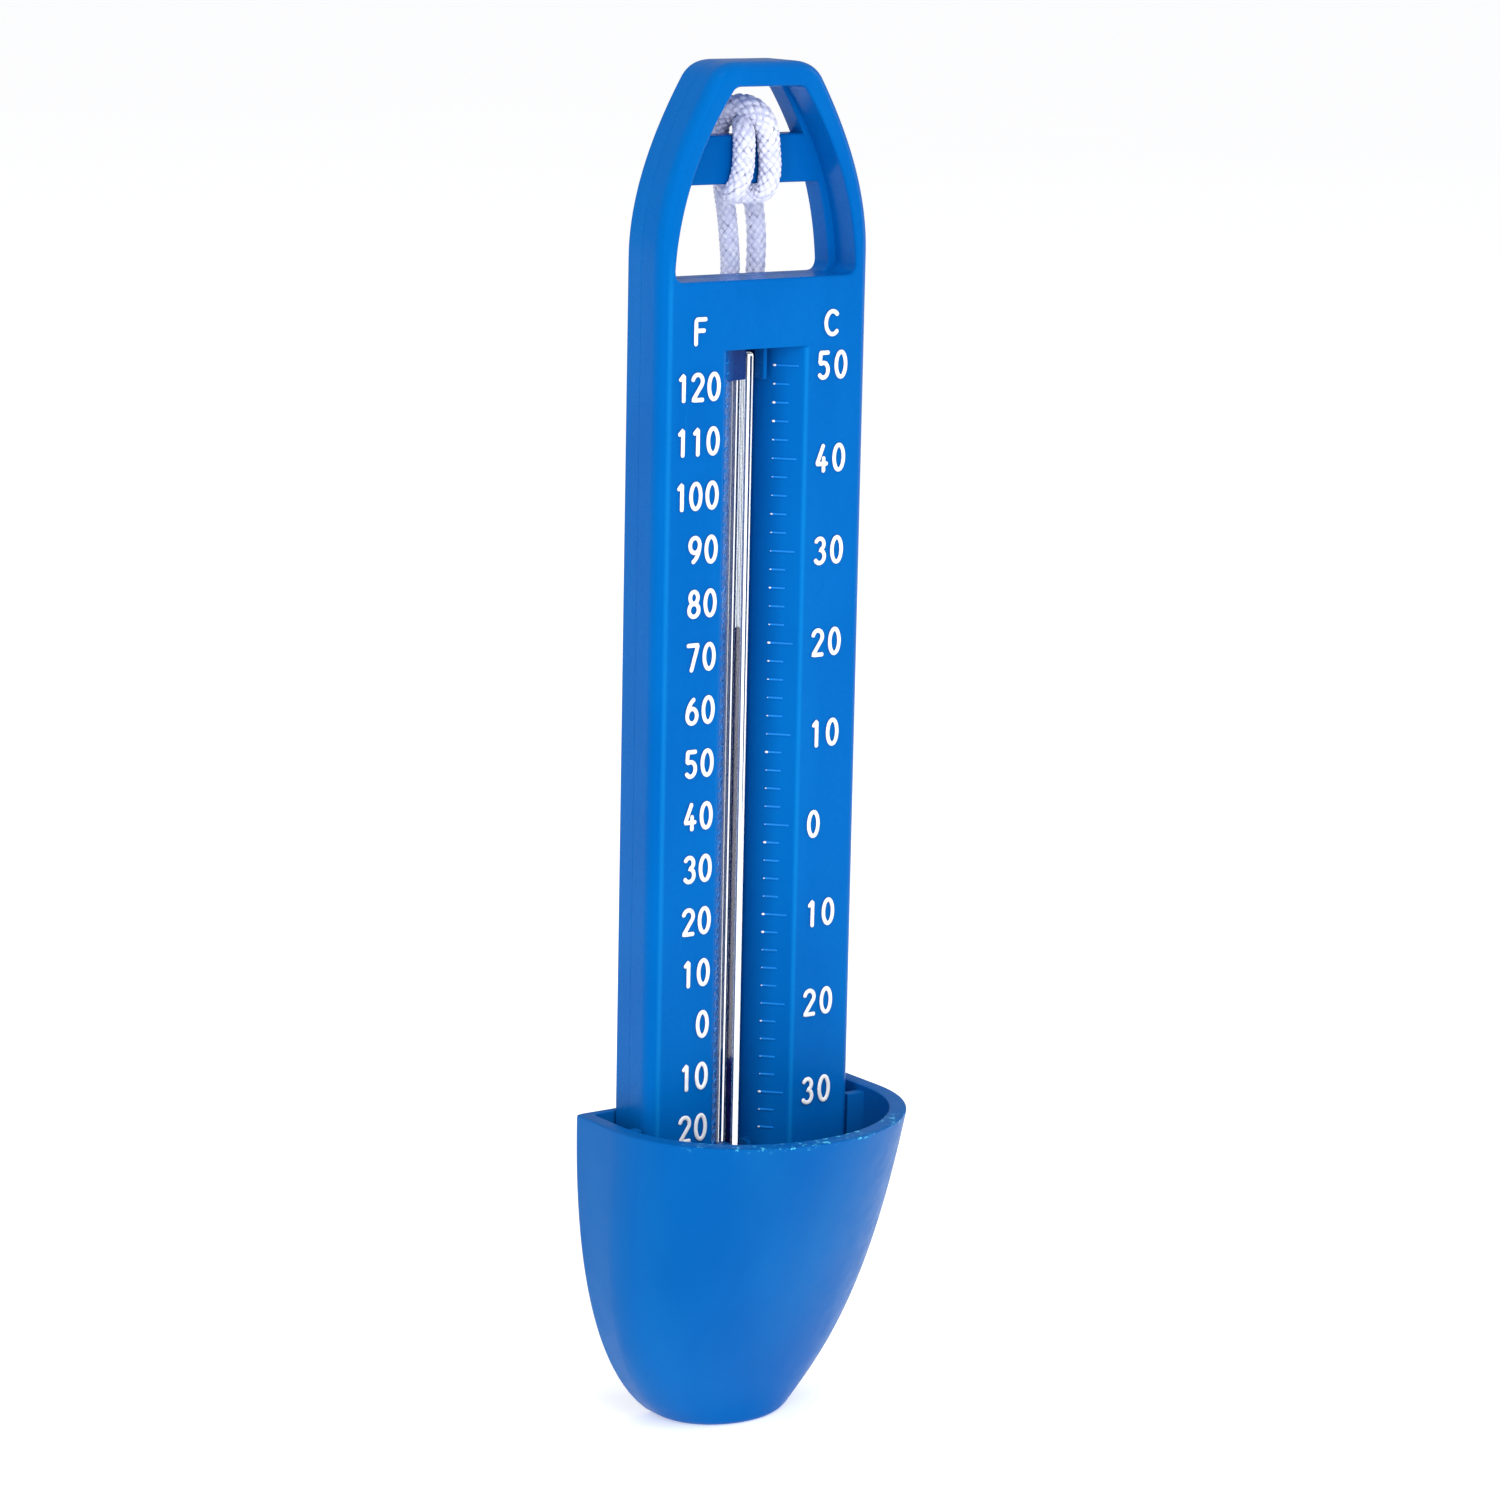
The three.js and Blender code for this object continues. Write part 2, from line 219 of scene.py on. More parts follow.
def window_outline(inset):
    wide, narrow = WINDOW["half"] - inset, WINDOW["top"] - inset / 2
    low, high = WINDOW["low"], WINDOW["high"]
    shoulder = (narrow, high - 0.6)
    right = [(0.0, low), (wide - 1.5, low)]
    right += bend((wide - 1.5, low), (wide, low), (wide, low + 1.5), 8)
    right += bend((wide, low + 1.5), (wide - 0.8, 164.5), shoulder, 26)
    right += bend(shoulder, (narrow - 0.4, high), (narrow - 1.4, high), 8)
    return mirrored(right)[:-1]


def grown(outline, by):
    """The outline moved outward by a distance (inward if negative), corners kept square."""
    points = np.array(outline)
    before, after = points - np.roll(points, 1, 0), np.roll(points, -1, 0) - points
    normal = lambda d: np.stack([d[:, 1], -d[:, 0]], 1) / np.linalg.norm(d, axis=1)[:, None]
    n0, n1 = normal(before), normal(after)
    total = n0 + n1
    total /= np.linalg.norm(total, axis=1)[:, None]
    reach = by / np.clip((total * n0).sum(1), 0.4, 1)
    return [tuple(p) for p in points + total * reach[:, None]]


def slab(name, outline, stations):
    """A body through copies of an outline in X and Z: stations are (y, growth)."""
    rings = [[(x, y, z) for x, z in grown(outline, by)] for y, by in stations]
    return loft(name, rings)


def rounding(inset, deep, steps=8):
    """(inset, depth) down a convex quarter round, from the face to the side."""
    return [
        (inset * (1 - math.sin(a)), deep * (1 - math.cos(a)))
        for a in (math.pi / 2 * i / steps for i in range(steps + 1))
    ]


# ---------- body ----------
FRONT_ROUND = 0.4  # rounding of the window's rim
SEAM_ROUND = 0.05  # where the two halves meet


def front_shell():
    front, part, foot = BODY["front"], BODY["part"], BODY["foot"]
    outer = [(front + d, -i) for i, d in rounding(SHOULDER["inset"], SHOULDER["deep"], 10)]
    outer += [(part - SEAM_ROUND, 0), (part - SEAM_ROUND / 3, -SEAM_ROUND / 3), (part, -SEAM_ROUND)]
    shell = slab("front_shell_detail", body_outline(), outer)
    half = BODY["half"] - WALL
    cut(shell, box("hollow", -half, half, front + WALL, part + 1, foot + WALL, HOLLOW_TOP))
    add(shell, valley_prism(1.3, 0.5, foot + 0.5, VALLEY["high"] + WALL))
    cut(shell, valley_prism(0, 0, VALLEY["low"], VALLEY["high"]))
    pocket = TUBE["bulb"] + 0.2
    cut(shell, lathe("pocket", [(0, 20.01), (pocket, 20.01), (pocket, 34), (0, 34)], 48))
    rim = [(front + d, i) for i, d in rounding(FRONT_ROUND, FRONT_ROUND)]
    window = [(front - 1, FRONT_ROUND + 0.01)] + rim + [(part + 1, 0)]
    cut(shell, slab("window", window_outline(0), window))
    for z0, z1 in LIP["levels"]:
        for lip in lips(z0, z1):
            add(shell, lip)
    return shell


def valley_prism(grow, back_wall, z0, z1):
    """Two banks that slope to a half-round channel; grow and back_wall thicken it into the wall round it."""
    front, r = BODY["front"], TUBE["r"] + 0.2 + back_wall
    half = VALLEY["half"] + grow
    if grow:
        right = [(half, front + WALL / 2), (half, front + WALL)]
    else:
        start, edge = (half + 0.5, front), (half - 0.34, front + 0.37)
        right = [(half + 0.5, front - 1), start] + bend(start, (half, front), edge, 6)
    right += [(r * math.cos(a), TUBE["y"] + r * math.sin(a)) for a in np.linspace(0, math.pi / 2, 17)]
    section = right + [(-x, y) for x, y in reversed(right[:-1])]
    return loft("valley", [[(x, y, z) for x, y in section] for z in (z0, z1)])


def lips(z0, z1):
    """The lips over the tube at one level: a broad sloping one on the left, a thin upright one opposite."""
    tip, y = LIP["tip"], BODY["front"]
    rise, root = y + LIP["rise"], y + LIP["root"]
    broad = [(-5, y + 1.6), (-tip, rise + 0.4), (-tip, root), (-2.5, root + 0.1)]
    thin = [(tip, rise), (tip + 0.5, rise), (tip + 0.5, y + 3.7), (2.75, y + 3.7)]
    thin += [(2.3, root + 0.1), (1.45, root + 0.1), (1.45, root), (tip, root)]
    pieces = []
    for section, width in ((broad, 0.22), (thin, 0.12)):
        piece = loft("lip", [[(x, y, z) for x, y in section] for z in (z0, z1)])
        ease = piece.modifiers.new("ease", "BEVEL")
        ease.width, ease.segments = width, 3
        bake_modifiers(piece)
        pieces.append(piece)
    return pieces


def rear_cover():
    back, foot = BODY["back"], BODY["foot"]
    outer = [(SEAM, -SEAM_ROUND), (SEAM + SEAM_ROUND / 3, -SEAM_ROUND / 3), (SEAM + SEAM_ROUND, 0)]
    outer += [(back - d, -i) for i, d in reversed(rounding(0.5, 0.5, 6))]
    cover = slab("rear_cover_detail", body_outline(), outer)
    opening = [(SEAM - 1, 0.3), (SEAM, 0.25), (SEAM + 0.08, 0.08), (SEAM + 0.25, 0), (back - 0.3, 0)]
    opening += [(back - 0.09, 0.09), (back, 0.3), (back + 1, 0.31)]
    cut(cover, slab("window", window_outline(WINDOW["step"]), opening))
    half = BODY["half"] - WALL
    cut(cover, box("hollow", -half, half, SEAM - 1, back - 1.1, foot + WALL, HOLLOW_TOP))
    cut(cover, box("slot", -2.6, 2.6, SEAM - 1, back - 0.6, foot + 0.3, VALLEY["high"] + WALL + 0.3))
    return add(cover, crossbar())


def crossbar():
    """The bar that carries the cord, its long edges eased."""
    low, high = BAR["low"], BAR["high"]
    rounds = rounding(0.35, 0.35, 5)
    y0, y1 = BAR["front"], BODY["back"] - 0.01
    section = [(y0 + d, low + i) for i, d in rounds] + [(y1 - d, low + i) for i, d in reversed(rounds)]
    section += [(y1 - d, high - i) for i, d in rounds] + [(y0 + d, high - i) for i, d in reversed(rounds)]
    return loft("bar", [[(x, y, z) for y, z in section] for x in (-BAR["reach"], BAR["reach"])])


# ---------- water cup ----------
def bezier_value(points, height):
    """The value at a height of a rising cubic curve through (value, height) points."""
    low, high = 0.0, 1.0
    cubic = lambda t, k: sum(
        math.comb(3, i) * (1 - t) ** (3 - i) * t**i * points[i][k] for i in range(4)
    )
    for _ in range(40):
        t = (low + high) / 2
        if cubic(t, 1) < height:
            low = t
        else:
            high = t
    return cubic(low, 0)


def d_ring(half, depth, back, z, steps=96):
    """Flat back, eased back corners, short straight sides, then half an ellipse."""
    straight = CUP["straight"] * depth
    ease = 0.9
    right = [(half - ease, back)]
    right += bend((half - ease, back), (half, back), (half, back - ease), 5)
    ring = [(x, y) for x, y in right]
    for i in range(steps + 1):
        a = math.pi * i / steps
        ring.append((half * math.cos(a), back - straight - (depth - straight) * math.sin(a)))
    ring += [(-x, y) for x, y in reversed(right)]
    return [(x, y, z) for x, y in ring]


def cup_ring(z, off=0.0, thin=0.0):
    """The cup's ring at height z: off shrinks it evenly, thin (0 to 1) moves it to the inner wall."""
    at = min(z, CUP["rim"])
    side, front, rear = (off + thin * CUP[k] for k in ("side", "front", "rear"))
    half = bezier_value(CUP_HALF, at) - side
    return d_ring(half, bezier_value(CUP_DEPTH, at) - front - rear, CUP["back"] - rear, z)


def water_cup():
    rim = CUP["rim"]
    rings = [cup_ring(0, 0.9), cup_ring(0.12, 0.45), cup_ring(0.4, 0.14), cup_ring(0.8, 0)]
    rings += [cup_ring(z) for z in np.linspace(0.8, rim - 0.3, 34)[1:]]
    rings += [cup_ring(rim - 0.12, 0.05), cup_ring(rim, 0.3)]
    rings += [cup_ring(rim, -0.3, 1), cup_ring(rim - 0.12, -0.05, 1)]
    rings += [cup_ring(z, 0, 1) for z in np.linspace(rim - 0.35, CUP["floor"] + 1, 26)]
    rings += [cup_ring(CUP["floor"] + 0.3, 0.35, 1), cup_ring(CUP["floor"], 1.1, 1)]
    cup = loft("water_cup_detail", rings)
    for side in (-1, 1):
        guide = sorted((side * (BODY["half"] + 0.3), side * 21))
        add(cup, rib(guide[0], guide[1], 5.7, 7.1, 8, rim - 0.8))
        add(cup, rib(side * 9 - 0.8, side * 9 + 0.8, 6, CUP["back"] - 0.5, 1, BODY["foot"] - 0.3))
    return cup


def rib(x0, x1, y0, y1, z0, z1):
    """An upright rib, trimmed to the cup's wall so that it never shows outside."""
    piece = box("rib", x0, x1, y0, y1, z0, z1)
    ease = piece.modifiers.new("ease", "BEVEL")
    ease.width, ease.segments = 0.2, 2
    bake_modifiers(piece)
    heights = [0.8] + list(np.linspace(2, CUP["rim"], 24))
    keep = loft("keep", [cup_ring(z, 0.6) for z in heights])
    return combine(piece, keep, "INTERSECT")


# ---------- raised figures and ticks ----------
FIGURE = dict(wide=1.48, high=3.2, stroke=0.3, proud=0.26, sunk=0.12)
FAHRENHEIT = dict(zero=55.2, degree=0.69, right=-8.1, back=(0, 2.5, 4.8))  # back: each figure's way left
CELSIUS = dict(zero=79.8, degree=1.2, left=9.0, pitch=2.7)
TICK = dict(inner=3.5, radius=0.13, proud=0.14, sunk=0.08, flat=2.4)
# Sizes of the painted highlight points at the ticks' inner ends.
GLINT_DOT_SIZES = (0.05, 0.08, 0.11, 0.15)


def arc(cx, cz, rx, rz, start, stop, steps=14):
    """Points on an ellipse, in degrees from +X towards +Z."""
    turn = [math.radians(start + (stop - start) * i / steps) for i in range(steps + 1)]
    return [(cx + rx * math.cos(a), cz + rz * math.sin(a)) for a in turn]


def glyph_strokes(char):
    """The centre lines of a figure in a box FIGURE wide and high, each with whether it closes on itself."""
    w, h = FIGURE["wide"], FIGURE["high"]
    m = w / 2
    closed = {
        "0": [arc(m, h / 2, m, h / 2, 0, 360, 36)],
        "6": [arc(m, 0.3 * h, m, 0.3 * h, 0, 360, 28)],
        "8": [arc(m, 0.76 * h, 0.8 * m, 0.24 * h, 0, 360, 26), arc(m, 0.26 * h, m, 0.26 * h, 0, 360, 28)],
        "9": [arc(m, 0.7 * h, m, 0.3 * h, 0, 360, 28)],
    }
    top, low = arc(m, 0.74 * h, m, 0.26 * h, 165, -40), [(0.04, 0), (w, 0)]
    opened = {
        "1": [[(0.3 * w, 0.84 * h), (0.62 * w, h), (0.62 * w, 0)]],
        "2": [top + low],
        "3": [
            arc(m, 0.77 * h, 0.88 * m, 0.23 * h, 150, -90)
            + arc(m, 0.27 * h, m, 0.27 * h, 90, -145)[1:]
        ],
        "4": [[(0.62 * w, h), (0, 0.28 * h), (w, 0.28 * h)], [(0.7 * w, 0.5 * h), (0.7 * w, 0)]],
        "5": [
            [(0.92 * w, h), (0.14 * w, h), (0.1 * w, 0.6 * h)]
            + arc(0.9 * m, 0.3 * h, m, 0.3 * h, 118, -140)
        ],
        "6": [bend((0.78 * w, h), (0.08 * w, 0.8 * h), (0, 0.3 * h), 10)],
        "7": [[(0, h), (w, h), (0.36 * w, 0)]],
        "9": [bend((0.22 * w, 0), (0.92 * w, 0.2 * h), (w, 0.7 * h), 10)],
        "F": [[(0.05, 0), (0.05, 0.93 * h), (0.2, h), (w, h)], [(0.05, 0.54 * h), (0.85 * w, 0.54 * h)]],
        "C": [arc(m + 0.1, h / 2, m, h / 2, 48, 312, 26)],
    }
    return [(s, True) for s in closed.get(char, [])] + [(s, False) for s in opened.get(char, [])]


def ridge(line, closes, radius, place, proud, sunk, flat=3.0):
    """A raised stroke along a 2-D line, flat-topped with round shoulders and round ends.

    place(u, v, out) gives the 3-D point for a point of the line's plane, out above the surface."""
    points = np.array(line[:-1] if closes else line, float)
    points = even_spacing(points, 0.16, closes)
    if closes:
        step = np.roll(points, -1, 0) - np.roll(points, 1, 0)
        scale = np.ones(len(points))
    else:
        step = np.gradient(points, axis=0)
        ends = [(radius * math.sin(a), math.cos(a)) for a in (0.5, 1.0, 1.4)]
        first, last = -step[0] / np.linalg.norm(step[0]), step[-1] / np.linalg.norm(step[-1])
        head = [points[0] + first * d for d, _ in reversed(ends)]
        tail = [points[-1] + last * d for d, _ in ends]
        points = np.vstack([head, points, tail])
        scale = np.array([s for _, s in reversed(ends)] + [1] * len(step) + [s for _, s in ends])
        step = np.vstack([[step[0]] * 3, step, [step[-1]] * 3])
    step /= np.linalg.norm(step, axis=1)[:, None]
    side = np.stack([-step[:, 1], step[:, 0]], 1)
    section = [(-1, -sunk)]
    for i in range(9):
        a = math.pi * i / 8
        c, s = -math.cos(a), math.sin(a)
        section.append((math.copysign(abs(c) ** (2 / flat), c), proud * s ** (2 / flat)))
    section.append((1, -sunk))
    rings = []
    for p, n, k in zip(points, side, scale):
        ring = []
        for across, out in section:
            raised = out * k if out > 0 else out
            ring.append(place(*(p + n * across * radius * k), raised))
        rings.append(ring)
    return rings


def even_spacing(points, step, closes=False):
    """The same line with points a step apart, corners kept as near as that allows."""
    line = np.vstack([points, points[:1]]) if closes else points
    along = np.concatenate([[0], np.cumsum(np.linalg.norm(np.diff(line, axis=0), axis=1))])
    count = max(3, int(round(along[-1] / step)))
    at = np.linspace(0, along[-1], count + 1)
    if closes:
        at = at[:-1]
    return np.stack([np.interp(at, along, line[:, k]) for k in range(line.shape[1])], 1)


def strip_mesh(verts, faces, rings, closes):
    """Adds a ridge's rings to lists of vertices and faces."""
    base, count = len(verts), len(rings[0])
    for ring in rings:
        verts += ring
    spans = len(rings) if closes else len(rings) - 1
    for i in range(spans):
        low, high = base + i * count, base + (i + 1) % len(rings) * count
        for j in range(count):
            k = (j + 1) % count
            faces.append((low + j, low + k, high + k, high + j))
    if not closes:
        faces.append(tuple(range(base, base + count)))
        faces.append(tuple(reversed(range(len(verts) - count, len(verts)))))


def on_panel(u, v, out):
    return (u, BODY["front"] - out, v)


def scale_numbers():
    """Fahrenheit on the left, ranged right; Celsius on the right, ranged left."""
    verts, faces = [], []

    def write(char, x, z, wide=1.0, high=1.0):
        for line, closes in glyph_strokes(char):
            moved = [
                (x + (u - FIGURE["wide"] / 2) * wide, z + (v - FIGURE["high"] / 2) * high)
                for u, v in line
            ]
            rings = ridge(moved, closes, FIGURE["stroke"], on_panel, FIGURE["proud"], FIGURE["sunk"])
            strip_mesh(verts, faces, rings, closes)

    for value in range(120, -30, -10):
        for i, char in enumerate(reversed(str(abs(value)))):
            write(char, FAHRENHEIT["right"] - FAHRENHEIT["back"][i], fahrenheit(value))
    for value in range(50, -40, -10):
        for i, char in enumerate(str(abs(value))):
            write(char, CELSIUS["left"] + CELSIUS["pitch"] * i, celsius(value))
    write("F", -10.3, 145, 1.0, 0.96)
    write("C", 10.1, 145.2, 1.4, 0.92)
    return new_object("scale_numbers", verts, faces)


def celsius(value):
    """The height of a mark on the Celsius scale."""
    return CELSIUS["zero"] + CELSIUS["degree"] * value


def fahrenheit(value):
    """The height of a mark on the Fahrenheit scale."""
    return FAHRENHEIT["zero"] + FAHRENHEIT["degree"] * value


def on_bank(side):
    """Places a point on a bank of the valley: u is the distance from the middle in X, v the height."""
    run, drop = VALLEY["half"] - 1.55, TUBE["y"] - BODY["front"]
    length = math.hypot(run, drop)
    nx, ny = -drop / length, -run / length

    def place(u, v, out):
        depth = BODY["front"] + (VALLEY["half"] - u) * drop / run
        return (side * (u + nx * out), depth + ny * out, v)

    return place


def scale_ticks():
    """Ribs along both banks, every two degrees, longer at each ten."""
    verts, faces = [], []
    banks = (
        (1, celsius, range(-34, 51, 2), TICK["inner"], 4.7, 5.5),
        (-1, fahrenheit, range(-28, 125, 2), 4.4, 5.75, 5.95),
    )
    for side, height, values, inner, short, long in banks:
        for value in values:
            outer = long if value % 10 == 0 else short
            z = height(value)
            line = [(inner, z), (outer, z)]
            sizes = (TICK["proud"], TICK["sunk"], TICK["flat"])
            rings = ridge(line, False, TICK["radius"], on_bank(side), *sizes)
            strip_mesh(verts, faces, rings, False)
    return new_object("scale_ticks", verts, faces)


def scale_dots():
    """A painted highlight: a bright raised point at the inner end of each tick on the right bank."""
    draw = random.Random(7)
    place = on_bank(1)
    parts = []
    for value in range(-34, 51, 2):
        size, z = draw.choice(GLINT_DOT_SIZES), celsius(value)
        rings = [
            [place(TICK["inner"] + k * size * c, z + k * size * s, out) for c, s in circle(12)]
            for k, out in ((1, 0.05), (1, 0.13), (0.8, 0.17), (0.45, 0.2))
        ]
        parts.append(loft("dot", rings))
    return join("scale_dots", parts)


def circle(count):
    turn = [2 * math.pi * i / count for i in range(count)]
    return [(math.cos(a), math.sin(a)) for a in turn]


# ---------- glass and spirit ----------
# Radians round the tube: turn is measured from its back, and each line runs between two distances from turn.
# These lines glow as painted highlights.
ENAMEL_GLOW = dict(turn=0.62, lines=((0.08, 0.2), (0.45, 0.7)))


def glass_tube(clear, glow_backing):
    """The tube, with thin lines of white enamel down its back, behind the bore; they glow as painted light,
    standing for the tube's bright highlight lines.
    """
    r, bulb, low, high, bore, top = (TUBE[k] for k in ("r", "bulb", "low", "high", "bore", "bulb_top"))
    inner = bulb - 0.45
    quarter = np.linspace(0, math.pi / 2, 9)
    outside = [(bulb * math.sin(a), low + 1.5 - 1.5 * math.cos(a)) for a in quarter]
    outside += [(bulb, top - 1), (bulb - 0.03, top - 0.6), (r + 0.03, top - 0.15), (r, top + 0.2)]
    outside += [(r, high - 0.45), (r - 0.1, high - 0.15), (r - 0.35, high)]
    inside = [(bore, high), (bore, top + 0.6), (bore + 0.2, top + 0.2), (inner, top - 0.8)]
    inside += [(inner, low + 2.2), (inner * 0.75, low + 1.55), (0, low + 1.2)]
    tube = lathe("glass_tube_detail", outside + inside, 144)
    for material in (clear, glow_backing):
        tube.data.materials.append(material)
    for face in tube.data.polygons:
        x, y, z = face.center
        off = abs(math.atan2(x, y - TUBE["y"]) - ENAMEL_GLOW["turn"])
        outer = math.hypot(x, y - TUBE["y"]) > r - 0.05 and z > top + 0.2
        face.material_index = int(outer and any(a < off < b for a, b in ENAMEL_GLOW["lines"]))
    return tube


def bulb_spirit():
    low, top = TUBE["low"], TUBE["bulb_top"]
    r, neck = TUBE["bulb"] - 0.55, COLUMN["r"]
    profile = [(0, low + 1.4), (r * 0.7, low + 1.65), (r, low + 2.3)]
    profile += [(r, top - 1), (neck, top + 0.3), (0, top + 0.4)]
    return lathe("bulb_spirit_detail", profile, 40)


def spirit_column():
    foot, level, r = COLUMN["foot"], COLUMN["level"], COLUMN["r"]
    cap = [(r, level - 0.24), (r * 0.9, level - 0.12), (r * 0.55, level - 0.03), (0, level)]
    return lathe("spirit_column_detail", [(0, foot), (r, foot)] + cap, 40)


def ballast(side):
    """A steel slug in the hollow beside the valley, its ends chamfered."""
    r, ease, foot = SLUG["r"], SLUG["ease"], BODY["foot"] + WALL + GAP
    top = foot + SLUG["tall"]
    profile = [(0, foot), (r - ease, foot), (r, foot + ease)]
    profile += [(r, top - ease), (r - ease, top), (0, top)]
    slug = lathe(f"ballast_{'left' if side < 0 else 'right'}_detail", profile, 48, y=SLUG["y"])
    slug.data.transform(Matrix.Translation((side * SLUG["x"], 0, 0)))
    return slug


# ---------- cord ----------
LEFT_HITCH = (
    (-0.1, 11, 170.2), (-0.9, 9.7, 170.2), (-1.6, 8.6, 169.7), (-1.85, 7.95, 168.3), (-1.95, 7.85, 166.6),
    (-2.05, 7.85, 164.9), (-2.45, 7.9, 163.4), (-2.9, 8.45, 162.05), (-2.6, 9.5, 161.5), (-1.4, 10.1, 161.5),
    (0, 10.1, 161.5), (1.1, 9.6, 161.5), (1.75, 8.6, 161.85), (2.05, 8, 163.3), (2.15, 7.85, 165),
    (1.95, 7.85, 167.2), (1.7, 7.9, 169.2), (1.25, 8.2, 170.8), (0.6, 8.75, 171.8), (-0.1, 9.6, 172.4),
    (-0.7, 10.7, 172.5), (-1.25, 12, 172.2), (-1.5, 13.2, 171.2), (-1.55, 14.1, 169.6), (-1.35, 14.3, 167.5),
    (-0.9, 14.35, 164.8), (-0.35, 14.3, 161), (0.15, 14.3, 158.5), (0.5, 14.3, 155.8), (0.85, 14.35, 152.3),
    (0.9, 14.6, 148), (0.6, 14.9, 143.5), (0.2, 15.1, 138.7),
)
RIGHT_HITCH = (
    (0.2, 11.3, 170.2), (1, 12.4, 170.35), (1.9, 13.75, 169.6), (2.5, 14.3, 167.4), (3.1, 14.35, 164.8),
    (3.9, 14.3, 161.2), (4.5, 14.3, 158.8), (4.85, 14.3, 155.6), (4.9, 14.4, 152.2), (4.85, 14.7, 147.5),
    (4.4, 15, 143), (3.9, 15.1, 138.7),
)
# Along the hitched cord, in mm: how much wider than its tails it spreads.
SWELL = (
    (0, 1.0), (4, 1.1), (9, 1.1), (12, 0.95), (17, 0.95), (20, 1.1),
    (24, 1.13), (28, 1.2), (33, 1.22), (37, 1.05), (42, 0.97),
)
OUTER_TURNS = dict(loop=7.7, waist=4.0, end=(0.35, 20.0, 87.2))
INNER_TURNS = dict(loop=5.1, waist=1.4, end=(2.9, 20.0, 87.2))


def smoothstep(t):
    t = min(max(t, 0.0), 1.0)
    return t * t * (3 - 2 * t)


def hank_points(loop, waist, end):
    """Two turns of the hank: down its left runs, round the loops, up its right runs, then to the knot."""
    cx, cz, run, layers = HANK["x"], HANK["z"], HANK["run"], HANK["layers"]
    points = []

    def straight(side, z0, z1, y0, y1):
        for i in range(9):
            t = i / 8
            z = z0 + (z1 - z0) * t
            wide = waist + (loop - waist) * smoothstep(abs(z) / run)
            points.append((cx + side * wide, y0 + (y1 - y0) * smoothstep(t), cz + z))

    def half_turn(start, z, y):
        for i in range(1, 10):
            a = math.radians(start + 18 * i)
            points.append((cx + loop * math.cos(a), y, cz + z + loop * math.sin(a)))

    for turn in range(2):
        near, far = layers[turn], layers[turn + 1]
        straight(-1, run if turn else 0, -run, near, near)
        half_turn(180, -run, near)
        straight(1, -run, run, near, far)
        half_turn(0, run, far)
    straight(-1, run, 0, layers[2], layers[2])
    low = cx - waist
    points += [(low + (end[0] - low) * t, layers[2] - 0.1 * t, cz + (end[2] - cz) * t) for t in (0.3, 0.65)]
    return points + [end]


def catmull(points, step):
    """A smooth line through the points, sampled a step apart."""
    p = np.array(points, float)
    p = np.vstack([2 * p[0] - p[1], p, 2 * p[-1] - p[-2]])
    knots = np.concatenate([[0], np.cumsum(np.linalg.norm(np.diff(p, axis=0), axis=1) ** 0.5)])
    out = []
    for i in range(1, len(p) - 2):
        t0, t1, t2, t3 = knots[i - 1 : i + 3]
        for t in np.linspace(t1, t2, 16, endpoint=False):
            a1 = (t1 - t) / (t1 - t0) * p[i - 1] + (t - t0) / (t1 - t0) * p[i]
            a2 = (t2 - t) / (t2 - t1) * p[i] + (t - t1) / (t2 - t1) * p[i + 1]
            a3 = (t3 - t) / (t3 - t2) * p[i + 1] + (t - t2) / (t3 - t2) * p[i + 2]
            b1 = (t2 - t) / (t2 - t0) * a1 + (t - t0) / (t2 - t0) * a2
            b2 = (t3 - t) / (t3 - t1) * a2 + (t - t1) / (t3 - t1) * a3
            out.append((t2 - t) / (t2 - t1) * b1 + (t - t1) / (t2 - t1) * b2)
    out.append(p[-2])
    return even_spacing(np.array(out), step)


def frames(line):
    """Two side directions at each point of a line, carried along it without twist."""
    tangent = np.gradient(line, axis=0)
    tangent /= np.linalg.norm(tangent, axis=1)[:, None]
    side = np.cross(tangent[0], (0.3, 1, 0.2))
    sides = []
    for t in tangent:
        side = side - t * side.dot(t)
        side /= np.linalg.norm(side)
        sides.append(side)
    sides = np.array(sides)
    return sides, np.cross(tangent, sides)


BRAID = dict(around=48, step=0.16, strands=7, pitch=1.25, relief=0.2)


def braid_height(turn, along):
    """The relief, 0 to 1, of a braid whose two sets of strands cross over and under."""
    a = BRAID["strands"] * turn + along / BRAID["pitch"]
    b = BRAID["strands"] * turn - along / BRAID["pitch"]
    over = (np.floor(a) + np.floor(b)) % 2 < 1
    pa, pb = np.sin(np.pi * (a % 1)), np.sin(np.pi * (b % 1))
    long, across = np.where(over, pa, pb), np.where(over, pb, pa)
    return long**0.35 * across**0.75


